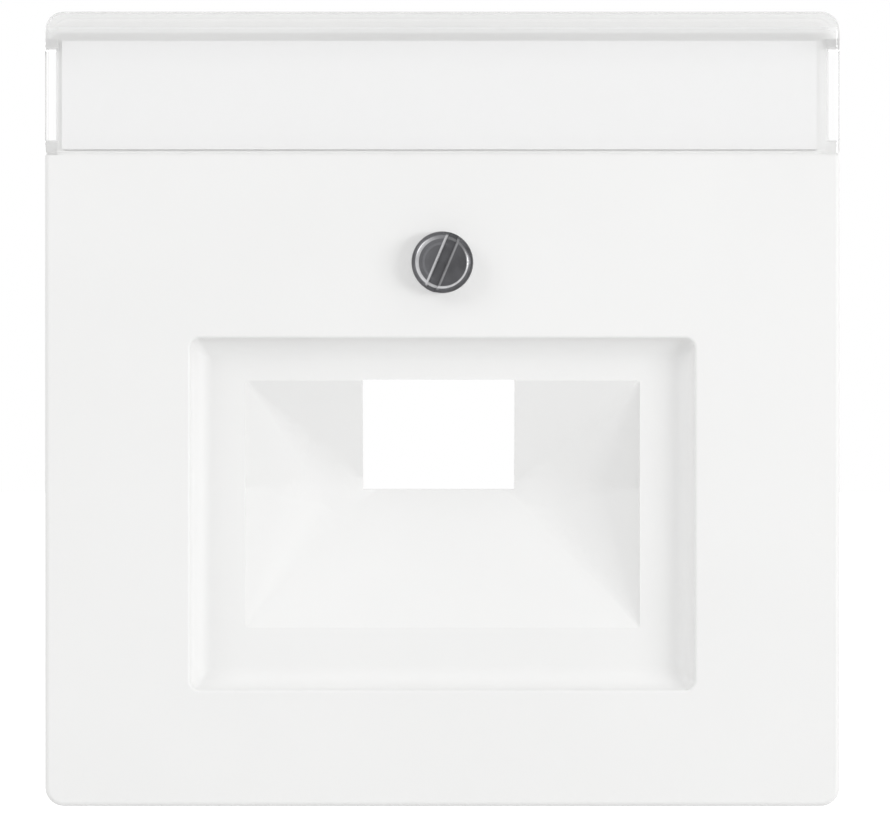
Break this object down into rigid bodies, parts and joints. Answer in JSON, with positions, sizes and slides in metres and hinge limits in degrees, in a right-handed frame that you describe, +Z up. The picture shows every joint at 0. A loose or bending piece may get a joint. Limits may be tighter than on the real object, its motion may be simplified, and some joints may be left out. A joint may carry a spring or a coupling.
{
  "type": "modular jack centre plate",
  "caption": "White square centre plate for a wall outlet, with a slanted jack window in a soft recess, a clear cover over a paper label strip, and a captive slotted screw.",
  "frame": {"origin": "the plate's axis on the rear seat, the plane where the skirt meets the support frame", "axes": "+X to the right seen from the front, +Y into the wall, +Z up; the face looks along -Y"},
  "size_m": [0.063, 0.0215, 0.063],
  "materials": {
    "white_plastic": "moulded, low gloss",
    "clear_plastic": "clear, polished",
    "label_paper": "plain, blank",
    "screw_steel": "turned, darkened",
    "washer_plastic": "natural"
  },
  "bodies": {
    "plate": {"centre_plate": "white_plastic", "label_strip": "label_paper"},
    "cover": {"label_cover": "clear_plastic"},
    "retainer": {"retaining_washer": "washer_plastic"},
    "screw": {"fixing_screw": "screw_steel"}
  },
  "joints": [
    {"name": "cover_lift", "type": "slide", "parent": "plate", "child": "cover", "axis": [0, -1, 0], "range_m": [0, 0.009]},
    {"name": "screw_float", "type": "slide", "parent": "plate", "child": "retainer", "axis": [0, -1, 0], "range_m": [0, 0.0026]},
    {"name": "screw_turn", "type": "hinge", "parent": "retainer", "child": "screw", "pos_m": [0, 0, 0.0116], "axis": [0, 1, 0], "continuous": true}
  ]
}
